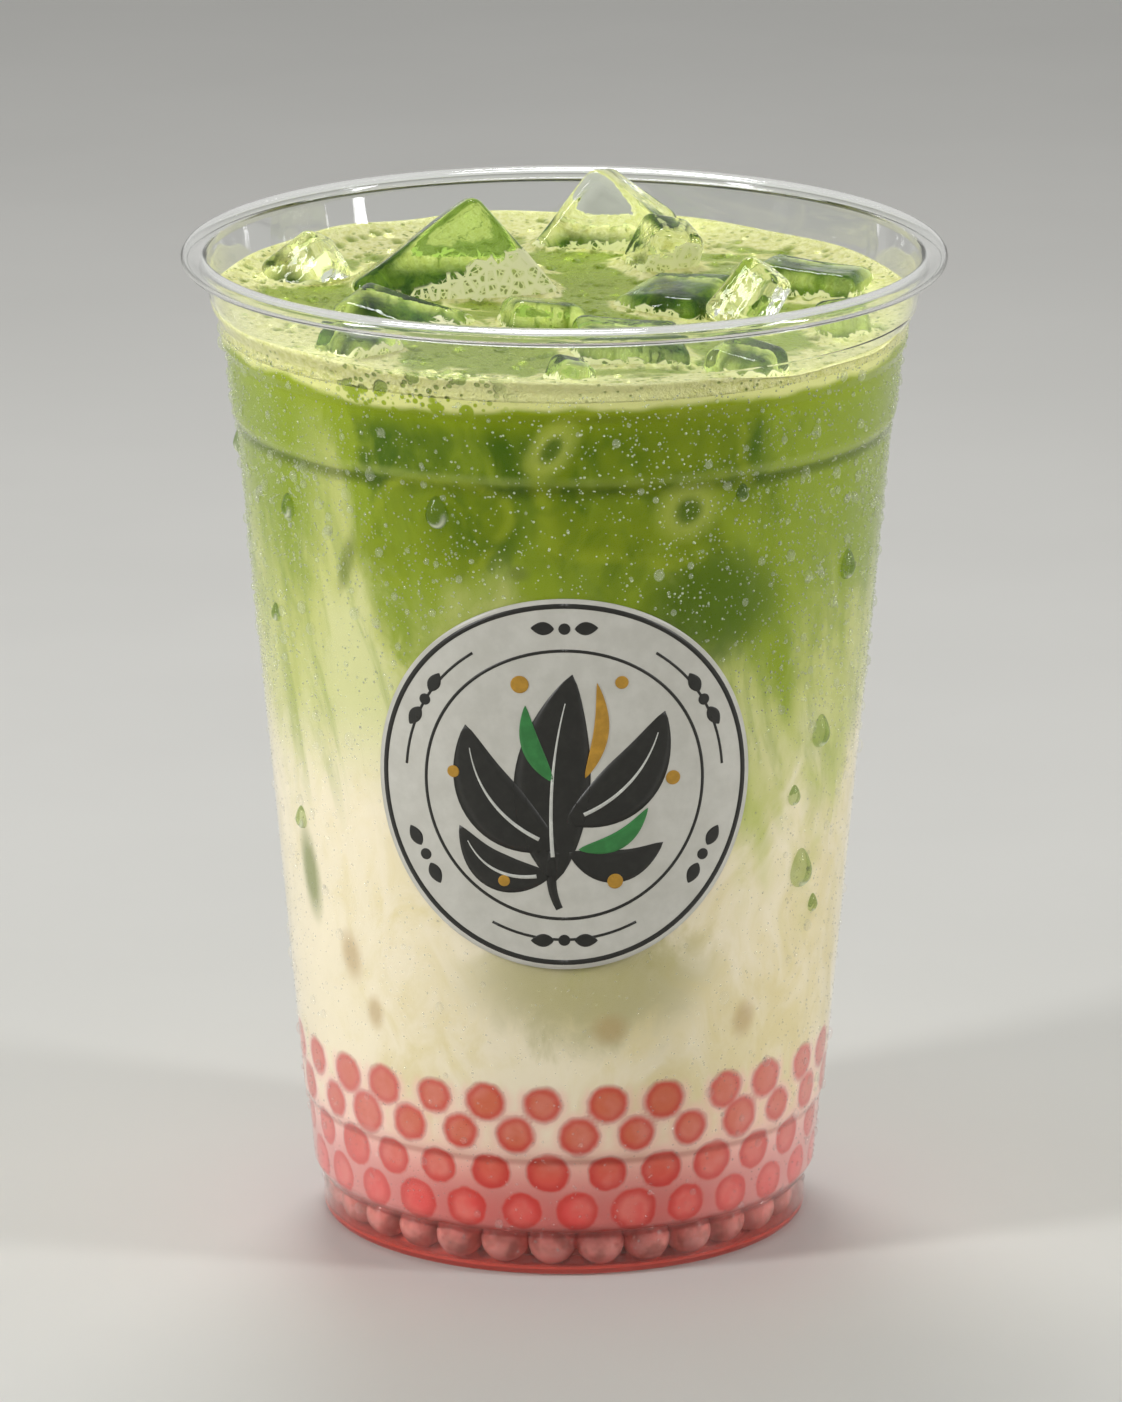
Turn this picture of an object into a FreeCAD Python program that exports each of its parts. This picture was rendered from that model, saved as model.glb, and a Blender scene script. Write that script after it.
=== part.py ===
import FreeCAD, Part
import math
import os

# Iced matcha latte with boba in a clear plastic cup.  Millimetres, +Z up, the origin at the
# centre of the foot ring on the table, the round label towards -Y.

Vector = FreeCAD.Vector
UP = Vector(0, 0, 1)
AXIS_POINT = Vector(0, 0, 0)

# Cup: one thermoformed sheet.
rim_diameter = 98.0
cup_height = 128.4
foot_diameter = 62.8
wall = 0.5

# Rolled lip: the sheet is curled outwards and down, and stays open underneath.
lip_width = 3.2
lip_height = 2.4
lip_curl_end = -60.0        # degrees, from the curl's outermost point

# Base: the cup stands on a ring round a raised middle.
foot_ring_width = 3.9
foot_lift = 0.1             # outward lean of the foot over its height
recess_depth = 2.0
recess_slope = 1.2
foot_corner = 1.0

# Steps pressed into the wall: how far each goes outwards and how tall it is.
foot_top = 5.2
foot_step = 1.2
foot_step_rise = 1.9
ring_rise = 1.25
lower_ring_height = 15.8
lower_ring_step = 0.5
groove_drop = 22.1          # the upper three are measured down from the top of the lip
groove_step = 0.55
upper_ring_drop = 13.0
upper_ring_step = 0.6
shoulder_drop = 9.0
shoulder_step = 1.0
shoulder_rise = 1.8
step_corner = 0.8
collar_flare = 1.1
collar_top_drop = 2.0
collar_corner = 2.0

# Label: a round sticker bent round the straight part of the wall.
label_diameter = 49.6
label_thickness = 0.2
label_drop = 38.8           # its centre, below the groove
label_outline_points = 40

# Contents, as heights above the table unless named a drop or a depth.
drink_drop = 6.5            # level of the foam below the top of the lip
foam_depth = 3.6
foam_lean_x = -0.012        # the foam stands higher at the left and the back
foam_lean_y = 0.020
foam_dip = 2.2              # and sags towards the wall at the front right
foam_dip_reach = 18.0
foam_dip_bearing = -35.0
foam_ripple = 0.3
meniscus_height = 0.5
meniscus_reach = 2.0
milk_top = 76.0
milk_swell = 3.4
boba_top = 25.6
boba_swell = 1.2
pearl_diameter = 6.9
pearl_relief = 1.2

# Ice: each block has its size, its place, how high it reaches above the drink, and its turn.
# The place is a share of the mouth's inner radius, so that the ice stays in the cup.
ice_corner = 1.6
ice_taper = 0.84
ice_blocks = (
    # width, depth, height, x share, y share, reach, yaw, pitch, roll in degrees
    (20.5, 19.0, 20.5, -0.320, 0.265, 10.7, 4.0, -13.0, 50.0),
    (8.0, 8.0, 9.0, -0.745, 0.275, 5.6, 38.0, 38.0, 30.0),
    (14.0, 12.5, 17.0, 0.105, 0.760, 9.3, -14.0, -9.0, 33.0),
    (8.5, 8.5, 10.0, 0.285, 0.500, 5.3, 20.0, 12.0, 16.0),
    (15.0, 15.0, 13.0, 0.335, 0.020, 1.9, -30.0, 5.0, -4.0),
    (7.0, 7.0, 10.0, 0.525, -0.170, 6.6, 45.0, 25.0, 25.0),
    (16.0, 12.0, 12.0, 0.705, 0.240, 2.0, -18.0, -4.0, 5.0),
    (7.5, 7.5, 9.0, 0.790, -0.200, 1.2, 12.0, 8.0, -5.0),
    (19.0, 11.5, 12.0, -0.465, -0.215, 2.5, -28.0, 8.0, 10.0),
    (11.5, 10.5, 11.0, -0.070, -0.265, 2.5, 12.0, -7.0, 9.0),
    (16.0, 13.5, 12.0, 0.175, -0.545, 2.2, 8.0, 6.0, 6.0),
    (10.0, 9.5, 10.0, 0.500, -0.660, 1.0, -30.0, 7.0, 9.0),
    (6.0, 6.0, 7.0, 0.010, -0.870, 1.2, 25.0, 10.0, 12.0),
    (10.5, 9.0, 10.0, -0.585, -0.555, 1.6, 40.0, 6.0, 8.0),
)

field_spacing = 3.4         # grid pitch of the free surfaces
boba_field_spacing = 1.7
field_margin = 4.0

rim_radius = rim_diameter / 2
foot_radius = foot_diameter / 2
mouth_radius = rim_radius - lip_width
drink_level = cup_height - drink_drop
foam_bottom = drink_level - foam_depth
groove_height = cup_height - groove_drop
label_centre = groove_height - label_drop


# --- cup -----------------------------------------------------------------------------------

def wall_steps():
    """Each step in the wall, from the foot up: its height, its width and its rise."""
    return (
        (foot_top, foot_step, foot_step_rise),
        (lower_ring_height, lower_ring_step, ring_rise),
        (groove_height, groove_step, ring_rise),
        (cup_height - upper_ring_drop, upper_ring_step, ring_rise),
        (cup_height - shoulder_drop, shoulder_step, shoulder_rise),
    )


def wall_taper():
    """Radius gained per millimetre of height by the straight walls between the steps."""
    steps = wall_steps()
    height, _, rise = steps[-1]
    gained = mouth_radius + wall - collar_flare - foot_radius - foot_lift
    gained -= sum(width for _, width, _ in steps)
    length = height + rise - foot_top - sum(rise for _, _, rise in steps)
    return gained / length


def outer_profile():
    """Corners (radius, height, rounding) of the sheet's outer side, axis to the lip's root."""
    recess_radius = foot_radius - foot_ring_width - recess_slope
    corners = [
        (0.0, recess_depth, 0.0),
        (recess_radius, recess_depth, step_corner),
        (recess_radius + recess_slope, 0.0, step_corner),
        (foot_radius, 0.0, foot_corner),
    ]
    taper = wall_taper()
    radius = foot_radius + foot_lift
    below = foot_top
    for height, width, rise in wall_steps():
        radius += taper * (height - below)
        corners.append((radius, height, step_corner))
        radius += width
        below = height + rise
        corners.append((radius, below, step_corner))
    corners.append((mouth_radius + wall, cup_height - collar_top_drop, collar_corner))
    corners.append((mouth_radius + wall, cup_height - lip_height / 2, 0.0))
    return corners


def unit(dx, dy):
    length = math.hypot(dx, dy)
    return dx / length, dy / length


def inner_profile():
    """The outer profile moved inwards by the sheet's thickness, corner by corner.

    A corner that turns towards the sheet's inside has a smaller rounding there.
    """
    corners = outer_profile()
    moved = [(0.0, corners[0][1] + wall, 0.0)]
    for before, here, after in zip(corners, corners[1:], corners[2:]):
        ax, ay = unit(here[0] - before[0], here[1] - before[1])
        bx, by = unit(after[0] - here[0], after[1] - here[1])
        mx, my = -(ay + by), ax + bx
        scale = wall / (1 + ax * bx + ay * by)
        turn = ax * by - ay * bx
        rounding = here[2] - wall if turn > 0 else here[2] + wall
        moved.append((here[0] + mx * scale, here[1] + my * scale, max(rounding, wall / 5)))
    moved.append((corners[-1][0] - wall, corners[-1][1], 0.0))
    return moved


def rounded_edges(corners):
    """Lines between the corners, with a tangent arc of each corner's rounding."""
    edges = []
    start = Vector(corners[0][0], 0, corners[0][1])
    for before, here, after in zip(corners, corners[1:], corners[2:]):
        corner = Vector(here[0], 0, here[1])
        back = (Vector(before[0], 0, before[1]) - corner).normalize()
        ahead = (Vector(after[0], 0, after[1]) - corner).normalize()
        half = back.getAngle(ahead) / 2
        trim = here[2] / math.tan(half)
        bisector = (back + ahead).normalize()
        middle = corner + bisector * (here[2] / math.sin(half) - here[2])
        entry = corner + back * trim
        leave = corner + ahead * trim
        edges.append(Part.LineSegment(start, entry).toShape())
        edges.append(Part.Arc(entry, middle, leave).toShape())
        start = leave
    end = Vector(corners[-1][0], 0, corners[-1][1])
    edges.append(Part.LineSegment(start, end).toShape())
    return edges


def lip_curl(half_width, half_height):
    """Elliptical arc from the end of the curl over its crown and in to the lip's root."""
    centre = Vector(rim_radius - lip_width / 2, 0, cup_height - lip_height / 2)
    side = centre + Vector(half_width, 0, 0)
    crown = centre + Vector(0, 0, half_height)
    return Part.Ellipse(side, crown, centre).toShape(math.radians(lip_curl_end), math.pi)


def turned(edges):
    """Solid of revolution of a closed profile about the cup's axis."""
    face = Part.Face(Part.Wire(Part.__sortEdges__(edges)))
    return face.revolve(AXIS_POINT, UP, 360)


def line(start, end):
    return Part.LineSegment(start, end).toShape()


def make_cup():
    """The whole sheet: foot, wall with its steps, collar and rolled lip."""
    outside = rounded_edges(outer_profile())
    inside = rounded_edges(inner_profile())
    outer_curl = lip_curl(lip_width / 2, lip_height / 2)
    inner_curl = lip_curl(lip_width / 2 - wall, lip_height / 2 - wall)
    closing = [
        line(outside[0].firstVertex().Point, inside[0].firstVertex().Point),
        line(outer_curl.firstVertex().Point, inner_curl.firstVertex().Point),
    ]
    return turned(outside + inside + [outer_curl, inner_curl] + closing)


def cup_inside(headroom):
    """All the room inside the sheet, carried straight up past the lip by the headroom."""
    inside = rounded_edges(inner_profile())
    top = cup_height + headroom
    root = inside[-1].lastVertex().Point
    floor = inside[0].firstVertex().Point
    edge = Vector(root.x, 0, top)
    roof = Vector(0, 0, top)
    return turned(inside + [line(root, edge), line(edge, roof), line(roof, floor)])


# --- label ---------------------------------------------------------------------------------

def wall_radius(height):
    """Outer radius of the wall at a height above the foot."""
    corners = [corner for corner in outer_profile() if corner[1] >= foot_top]
    for low, high in zip(corners, corners[1:]):
        if low[1] <= height <= high[1]:
            share = (height - low[1]) / (high[1] - low[1])
            return low[0] + share * (high[0] - low[0])


def make_label():
    """A disc laid on the wall: its flat width becomes an arc of the same length."""
    radius = label_diameter / 2
    outline = []
    for step in range(label_outline_points):
        angle = 2 * math.pi * step / label_outline_points
        height = label_centre + radius * math.sin(angle)
        here = wall_radius(height)
        outline.append(Vector(here * math.sin(radius * math.cos(angle) / here), 0, height))
    curve = Part.BSplineCurve()
    curve.interpolate(outline, PeriodicFlag=True)
    prism = Part.Face(Part.Wire(curve.toShape())).extrude(Vector(0, -rim_radius, 0))

    low = label_centre - radius - label_thickness
    high = label_centre + radius + label_thickness
    section = [
        Vector(wall_radius(low), 0, low),
        Vector(wall_radius(low) + label_thickness, 0, low),
        Vector(wall_radius(high) + label_thickness, 0, high),
        Vector(wall_radius(high), 0, high),
    ]
    section.append(section[0])
    sleeve = Part.Face(Part.makePolygon(section)).revolve(AXIS_POINT, UP, 360)
    return sleeve.common(prism)


# --- contents ------------------------------------------------------------------------------

def foam_surface(x, y):
    """Level, lean, one sag, low ripples and a rise where the foam clings to the wall."""
    gap = max(mouth_radius - math.hypot(x, y), 0.0)
    ripple = math.sin(x / 6.5 + 0.8) * math.cos(y / 5.5) + 0.5 * math.sin((x + y) / 4.2)
    bearing = math.radians(foam_dip_bearing)
    sag = math.hypot(x - mouth_radius * math.cos(bearing), y - mouth_radius * math.sin(bearing))
    return (drink_level + foam_lean_x * x + foam_lean_y * y + foam_ripple * ripple
            - foam_dip * math.exp(-(sag / foam_dip_reach) ** 2)
            + meniscus_height * math.exp(-gap / meniscus_reach))


def milk_surface(x, y):
    """Slow swells where the green drink has sunk into the milk."""
    return milk_top + milk_swell * (math.sin(x / 11.0 + 0.6) * math.cos(y / 13.0)
                                    + 0.5 * math.sin(y / 8.0 - x / 17.0))


def boba_surface(x, y):
    """Pearl-sized bumps on slow swells, a little lower at both sides."""
    pitch = 2 * math.pi / pearl_diameter
    bumps = math.cos(pitch * x) * math.cos(pitch * y)
    swell = math.sin(x / 10.0 + y / 14.0 + 0.4) - abs(x) / foot_radius
    return boba_top + boba_swell * swell + pearl_relief * bumps


def below(surface, spacing):
    """Everything under a free surface given as a height at each point of the plan."""
    reach = rim_radius + field_margin
    count = 2 * math.ceil(reach / spacing) + 1
    places = [-reach + 2 * reach * index / (count - 1) for index in range(count)]
    grid = [[Vector(x, y, surface(x, y)) for y in places] for x in places]
    sheet = Part.BSplineSurface()
    sheet.interpolate(grid)
    highest = max(point.z for row in grid for point in row)
    return sheet.toShape().extrude(Vector(0, 0, -(highest + field_margin)))


def ice_block(width, depth, height, x_share, y_share, reach, yaw, pitch, roll):
    """A cube from a tray, narrower at one end, with its edges melted round."""
    dx, dy = width * (1 - ice_taper) / 2, depth * (1 - ice_taper) / 2
    block = Part.makeWedge(0, 0, 0, dy, dx, width, height, depth, depth - dy, width - dx)
    corner = min(ice_corner, width / 4, depth / 4, height / 4)
    block = block.makeFillet(corner, block.Edges).Solids[0]
    block.translate(-block.CenterOfMass)
    block.rotate(AXIS_POINT, Vector(1, 0, 0), 90)
    turn = FreeCAD.Rotation(UP, yaw) * FreeCAD.Rotation(Vector(1, 0, 0), pitch)
    turn = turn * FreeCAD.Rotation(Vector(0, 1, 0), roll)
    block.Placement = FreeCAD.Placement(AXIS_POINT, turn) * block.Placement
    top = drink_level + reach
    inner_radius = mouth_radius - collar_flare
    shift = Vector(x_share * inner_radius, y_share * inner_radius, top - block.BoundBox.ZMax)
    block.translate(shift)
    return block


def make_ice(room):
    """Every block, kept inside the cup and clear of the blocks laid before it."""
    blocks = []
    for size_and_place in ice_blocks:
        block = ice_block(*size_and_place).common(room)
        for other in blocks:
            if block.BoundBox.intersect(other.BoundBox):
                block = block.cut(other)
        blocks.append(block)
    return blocks


def make_contents():
    """Boba, milk, matcha and foam, one on another, with the ice standing in the upper two."""
    room = cup_inside(drink_drop)
    ice = make_ice(room)
    under_boba = below(boba_surface, boba_field_spacing)
    under_milk = below(milk_surface, field_spacing)
    under_foam = Part.makeCylinder(rim_radius, foam_bottom)
    under_top = below(foam_surface, field_spacing)
    parts = {
        "boba": room.common(under_boba),
        "milk": room.common(under_milk).cut(under_boba),
        "matcha": room.common(under_foam).cut(under_milk).cut(ice),
        "foam": room.common(under_top).cut(under_foam).cut(ice),
    }
    for index, block in enumerate(ice):
        parts["ice_%d" % (index + 1)] = block
    return parts


def main():
    parts = {"cup": make_cup(), "label": make_label()}
    parts.update(make_contents())
    os.makedirs("parts", exist_ok=True)
    for name, shape in parts.items():
        solid = shape.Solids[0] if len(shape.Solids) == 1 else shape
        solid.exportStep("parts/%s.step" % name)
        print("%-7s %d solid, %9.1f mm3" % (name, len(shape.Solids), shape.Volume))


main()
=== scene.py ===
import bpy
import numpy as np
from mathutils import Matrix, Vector


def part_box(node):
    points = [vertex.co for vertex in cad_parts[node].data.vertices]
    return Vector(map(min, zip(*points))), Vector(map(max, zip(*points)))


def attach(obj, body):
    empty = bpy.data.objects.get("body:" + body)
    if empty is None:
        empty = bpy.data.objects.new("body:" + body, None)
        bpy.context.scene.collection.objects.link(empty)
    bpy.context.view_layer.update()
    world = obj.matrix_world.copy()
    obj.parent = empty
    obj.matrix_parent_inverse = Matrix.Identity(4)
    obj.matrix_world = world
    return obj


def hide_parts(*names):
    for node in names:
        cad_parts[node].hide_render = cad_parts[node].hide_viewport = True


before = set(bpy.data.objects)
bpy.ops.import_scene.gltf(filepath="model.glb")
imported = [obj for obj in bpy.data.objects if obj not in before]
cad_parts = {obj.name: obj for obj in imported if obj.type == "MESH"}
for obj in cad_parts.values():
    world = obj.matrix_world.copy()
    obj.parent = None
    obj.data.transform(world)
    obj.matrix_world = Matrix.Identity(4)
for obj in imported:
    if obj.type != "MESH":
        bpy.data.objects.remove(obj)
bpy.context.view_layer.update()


# --- Cup ----------------------------------------------------------------------------------
# One sheet of clear plastic drawn over a tapered mould, with steps pressed into its wall and
# its edge curled out and down. Cold drink leaves a fine haze of damp on it below the collar.

cup_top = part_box("cup")[1].z * 1000
rim_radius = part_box("cup")[1].x * 1000
sheet = 0.5
curl = (1.6, 1.2)      # half-width and half-height of the rolled lip
curl_end = -60.0       # where the lip's curl stops, in degrees from straight outwards
arc_points = 7         # points along the rounding of a corner
# radius, height and rounding of each corner of the outer side, from the middle of the base up
cup_corners = (
    (0.0, 2.0, 0.0), (26.3, 2.0, 0.8), (27.5, 0.0, 0.8), (31.4, 0.0, 1.0), (31.5, 5.2, 0.6),
    (32.7, 7.1, 0.6), (33.49, 15.8, 0.6), (33.99, 17.05, 0.6), (42.09, 106.3, 0.6),
    (42.64, 107.55, 0.6), (43.35, 115.4, 0.6), (43.95, 116.65, 0.6), (44.2, 119.4, 0.6),
    (45.2, 121.2, 0.6), (46.3, 126.4, 2.0), (46.3, 127.2, 0.0),
)


def unit(vectors):
    """Each vector divided by its own length."""
    return vectors / np.linalg.norm(vectors, axis=-1, keepdims=True)


def together(*parts):
    """Numbers side by side in a last axis, each first stretched to the others' shape."""
    return np.stack(np.broadcast_arrays(*parts), axis=-1)


def rounded(corners, steps=arc_points):
    """Straight runs between corners, with an arc of each corner's rounding that touches both."""
    corners = np.array(corners)
    path = [corners[0, :2]]
    for before, here, after in zip(corners, corners[1:], corners[2:]):
        back, ahead = unit(before[:2] - here[:2]), unit(after[:2] - here[:2])
        half = np.arccos(np.clip(back @ ahead, -1, 1)) / 2
        middle = here[:2] + unit(back + ahead) * here[2] / np.sin(half)
        touch = here[2] / np.tan(half)
        share = np.linspace(0, 1, steps)[:, None]
        swing = (here[:2] + back * touch - middle) * (1 - share)
        swing += (here[:2] + ahead * touch - middle) * share
        path.extend(middle + unit(swing) * here[2])
    path.append(corners[-1, :2])
    return np.array(path)


def moved_in(path, distance):
    """The path shifted to its left by a distance, square to its own direction at each point."""
    along = unit(np.gradient(path, axis=0))
    return path + together(-along[:, 1], along[:, 0]) * distance


def about_axis(radius, bearing, height):
    """Places round the cup's axis: (radius sin bearing, -radius cos bearing, height)."""
    return together(radius * np.sin(bearing), -radius * np.cos(bearing), height)


def all_round(turns):
    """Bearings evenly spaced all the way round."""
    return np.linspace(0, 2 * np.pi, turns, endpoint=False)


def turned(profile, turns):
    """Points and faces of a profile of (radius, height) turned about the cup's axis.

    A profile end on the axis is one point, closed by a fan of triangles.
    """
    grid = about_axis(profile[:, :1], all_round(turns), profile[:, 1:])
    return closed_round(grid, profile[0, 0] < 1e-6, profile[-1, 0] < 1e-6)


def closed_round(grid, start_is_point, end_is_point):
    """Points and faces of a grid whose columns go all the way round.

    Faces are arrays with a face in each row. Between two rows of the grid they are quads; next
    to a row that is all one point they are a fan of triangles.
    """
    rows, turns, _ = grid.shape
    index = np.arange(rows * turns).reshape(rows, turns)
    after = np.roll(index, -1, axis=1)
    quads = together(index[:-1], after[:-1], after[1:], index[1:])
    first, last = int(start_is_point), rows - 1 - int(end_is_point)
    faces = [quads[first:last].reshape(-1, 4)]
    if start_is_point:
        faces.append(together(index[0, 0], after[1], index[1]))
    if end_is_point:
        faces.append(together(index[-1, 0], index[-2], after[-2]))
    return grid.reshape(-1, 3), faces


def volume_of(points, faces):
    """Signed volume inside faces, by summing the tetrahedra that they make with the origin."""
    total = 0.0
    for some in faces:
        for corner in range(1, some.shape[1] - 1):
            a, b, c = (points[some[:, k]] for k in (0, corner, corner + 1))
            total += (a * np.cross(b, c)).sum() / 6
    return total


def make_piece(name, points, faces, material, slot, *nodes, shares=None, crease=0):
    """Puts a closed shape, in millimetres, into the scene with its faces outwards.

    Points that no face uses are left out. shares holds one number per point for each named
    attribute. Edges that bend by more than crease, in degrees, stay sharp; 0 leaves every
    edge smooth.
    """
    if volume_of(points, faces) < 0:
        faces = [some[:, ::-1] for some in faces]
    used = np.unique(np.concatenate([some.ravel() for some in faces]))
    rows = [row for some in faces for row in np.searchsorted(used, some).tolist()]
    mesh = bpy.data.meshes.new(name)
    mesh.from_pydata((points[used] * 0.001).tolist(), [], rows)
    for key, numbers in (shares or {}).items():
        layer = mesh.attributes.new(key, "FLOAT", "POINT")
        layer.data.foreach_set("value", np.asarray(numbers, float).ravel()[used])
    mesh.polygons.foreach_set("use_smooth", np.full(len(mesh.polygons), True))
    if crease:
        mesh.set_sharp_from_angle(angle=np.radians(crease))
    mesh.update()
    piece = bpy.data.objects.new(name, mesh)
    bpy.context.collection.objects.link(piece)
    mesh.materials.append(material)
    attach(piece, "root")
    if nodes:
        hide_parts(*nodes)


class Wire:
    """An output of a material's node. Sums, products and powers of wires are Math nodes."""

    def __init__(self, tree, socket=None):
        self.tree = tree
        self.socket = socket

    def node(self, kind, settings=None, output=0, **inputs):
        """Adds a node, sets its settings, then its inputs, and gives one output.

        An input is named, with _ for a space, or in0, in1 and so on by its number. It is
        a number, a wire, or the paint code of a colour.
        """
        made = self.tree.nodes.new("ShaderNode" + kind)
        for name, value in (settings or {}).items():
            setattr(made, name, value)
        for name, value in inputs.items():
            key = int(name[2:]) if name.startswith("in") and name[2:].isdigit() else None
            slot = made.inputs[name.replace("_", " ") if key is None else key]
            if isinstance(value, Wire):
                self.tree.links.new(value.socket, slot)
            else:
                slot.default_value = colour(value) if isinstance(value, str) else value
        return Wire(self.tree, made.outputs[output])

    def math(self, operation, *others):
        inputs = {"in%d" % i: value for i, value in enumerate((self,) + others)}
        return self.node("Math", {"operation": operation}, **inputs)

    def __add__(self, other):
        return self.math("ADD", other)

    __radd__ = __add__

    def __sub__(self, other):
        return self.math("SUBTRACT", other)

    def __neg__(self):
        return self * -1

    def __rsub__(self, other):
        return -self + other

    def __mul__(self, other):
        return self.math("MULTIPLY", other)

    __rmul__ = __mul__

    def __truediv__(self, other):
        return self.math("DIVIDE", other)

    def __pow__(self, other):
        return self.math("POWER", other)

    def least(self, other):
        return self.math("MINIMUM", other)

    def most(self, other):
        return self.math("MAXIMUM", other)

    def size(self):
        return self.math("ABSOLUTE")

    def ramp(self, start, end):
        """Rises smoothly from 0 at start to 1 at end."""
        return self.node("MapRange", {"interpolation_type": "SMOOTHSTEP"},
                         in0=self, in1=start, in2=end)

    def band(self, low, full, still_full, high):
        """Rises smoothly from 0 at low to 1 at full, and is back at 0 at high."""
        return self.ramp(low, full) * self.ramp(high, still_full)

    def mix(self, low, high):
        """Colour low where this wire is 0, high where it is 1."""
        return self.node("Mix", {"data_type": "RGBA"}, output=2, in0=self, in6=low, in7=high)

    def blend(self, low, high):
        """Shader low where this wire is 0, high where it is 1."""
        return self.node("MixShader", in0=self, in1=low, in2=high)

    def surface(self, tint, rough, **inputs):
        """The layered shader, with its colour and roughness and what else it needs."""
        return self.node("BsdfPrincipled", Base_Color=tint, Roughness=rough, **inputs)

    def scaled(self, x, y, z):
        """A place or direction with each of its three parts multiplied."""
        return self.node("VectorMath", {"operation": "MULTIPLY"}, in0=self, in1=(x, y, z))

    def part(self, axis):
        """One of a place's three parts, in metres."""
        return self.node("SeparateXYZ", output="XYZ".index(axis), in0=self)

    def mm(self, axis):
        """One of a place's three parts, in millimetres."""
        return self.part(axis) * 1000

    def named(self, name):
        """The number that a mesh attribute gives at each point."""
        return self.node("Attribute", {"attribute_name": name}, output=2)

    def noise(self, scale, detail=2.0, roughness=0.5, distortion=0.0):
        """Soft cloudy pattern around 0.5, with that many lumps in a metre."""
        return self.node("TexNoise", Vector=self, Scale=scale, Detail=detail,
                         Roughness=roughness, Distortion=distortion)

    def cells(self, scale, feature="F1"):
        """Distance to the nearest of scattered points, that many in a metre each way."""
        return self.node("TexVoronoi", {"feature": feature}, Vector=self, Scale=scale)


def colour(code):
    """Red, green and blue of a paint code, as the linear amounts that shaders use."""
    tones = np.array([int(code[i:i + 2], 16) for i in (0, 2, 4)]) / 255
    linear = np.where(tones <= 0.04045, tones / 12.92, ((tones + 0.055) / 1.055) ** 2.4)
    return (*linear.tolist(), 1.0)


def new_finish(name):
    """An empty material, with a wire to start its nodes and one for its places."""
    material = bpy.data.materials.new(name)
    material.use_nodes = True
    material.node_tree.nodes.clear()
    start = Wire(material.node_tree)
    return material, start, start.node("TexCoord", output="Object")


def lay(shader):
    """Sends a shader to the surface of its material."""
    output = shader.tree.nodes.new("ShaderNodeOutputMaterial")
    shader.tree.links.new(shader.socket, output.inputs["Surface"])


def lets_lamps_through(glass, tint):
    """Clear shader that throws no hard shadow: a lamp's ray goes straight through it."""
    is_lamp_ray = glass.node("LightPath", output="Is Shadow Ray")
    return is_lamp_ray.blend(glass, glass.node("BsdfTransparent", Color=tint))


def clear_plastic():
    """Clear sheet, polished at the collar and faintly hazed where the drink is behind it.

    There it reflects less too, because the drink touches its inner side.
    """
    material, start, place = new_finish("clear_plastic")
    height = place.mm("Z")
    damp = height.band(1.0, 5.0, 117.5, 120.5)
    patches = place.noise(95, 3, 0.6).ramp(0.35, 0.72)
    sag = start.node("Bump", Strength=0.25, Distance=0.0004, Height=place.noise(55, 1))
    dry = start.surface((0.985, 0.995, 0.985, 1.0), patches * 0.01 + 0.01, Normal=sag,
                        IOR=1.5, Transmission_Weight=1.0)
    wet = start.surface((0.985, 0.995, 0.98, 1.0), patches * 0.05 + 0.03, Normal=sag,
                        IOR=1.5, Transmission_Weight=1.0, Specular_Tint=(0.3, 0.3, 0.3, 1.0))
    # The damp film is a real haze, drawn only at the left and right where the wall is seen
    # edge-on; its paleness there is painted sheen.
    aside = (place.mm("X") / 42).size().ramp(0.55, 1.0)
    streaks = place.scaled(1.0, 1.0, 0.35).noise(120, 4, 0.65, 0.8).ramp(0.4, 0.8)
    film = start.surface("e6ecc8", patches + 0.3)
    misted = (damp * streaks * aside * 0.12).blend(damp.blend(dry, wet), film)
    lay(lets_lamps_through(misted, (0.97, 0.985, 0.97, 1.0)))
    return material


outer_path = rounded(cup_corners)
inner_path = moved_in(outer_path, sheet)
inner_path[0, 0] = 0.0
inner_path[-1] = outer_path[-1] - (sheet, 0)
curl_angle = np.radians(np.linspace(180, curl_end, 40))
curl_turn = together(np.cos(curl_angle), np.sin(curl_angle))
curl_middle = np.array([rim_radius - curl[0], cup_top - curl[1]])
over_curl = curl_middle + curl_turn * curl
under_curl = curl_middle + curl_turn * (curl[0] - sheet, curl[1] - sheet)
cup_loop = np.concatenate([inner_path[:-1], over_curl, under_curl[::-1], outer_path[-2::-1]])
make_piece("cup_shell", *turned(cup_loop, 256), clear_plastic(), "cup", "cup")


# --- Label --------------------------------------------------------------------------------
# A round pearl-white vinyl sticker, 0.2 mm thick, bent round the wall. Its print is a black
# tea sprig with gold and green touches in a ring, and a band of small leaves and dots.

label_radius = 24.8
label_middle = 67.5
label_thickness = 0.2
ink_thickness = 0.03
dot_ring = 20.85       # radius of the band of dots and small leaves


def wall_at(height):
    """Radius of the cup's outer side at each height, from the foot's inner corner up."""
    side = outer_path[2 * arc_points:]
    return np.interp(height, side[:, 1], side[:, 0])


def on_wall(across, up, lift):
    """Flat label places (mm across and up from its middle) laid round the wall.

    The bearing is the distance across divided by the wall's radius at that height.
    """
    height = label_middle + up
    radius = wall_at(height)
    return about_axis(radius + lift, across / radius, height)


def plate(across, up, low, high):
    """Closed thin plate over a grid of flat places, from one lift to another."""
    rows, columns = across.shape
    top, under = on_wall(across, up, high), on_wall(across, up, low)
    index = np.arange(rows * columns).reshape(rows, columns)
    quads = together(index[:-1, :-1], index[:-1, 1:], index[1:, 1:], index[1:, :-1])
    quads = quads.reshape(-1, 4)
    edge = np.concatenate([index[0, :-1], index[:-1, -1], index[-1, :0:-1], index[:0:-1, 0]])
    ahead = np.roll(edge, -1)
    count = rows * columns
    sides = together(edge + count, ahead + count, ahead, edge)
    faces = [quads, quads[:, ::-1] + count, sides]
    return np.concatenate([top.reshape(-1, 3), under.reshape(-1, 3)]), faces


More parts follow.
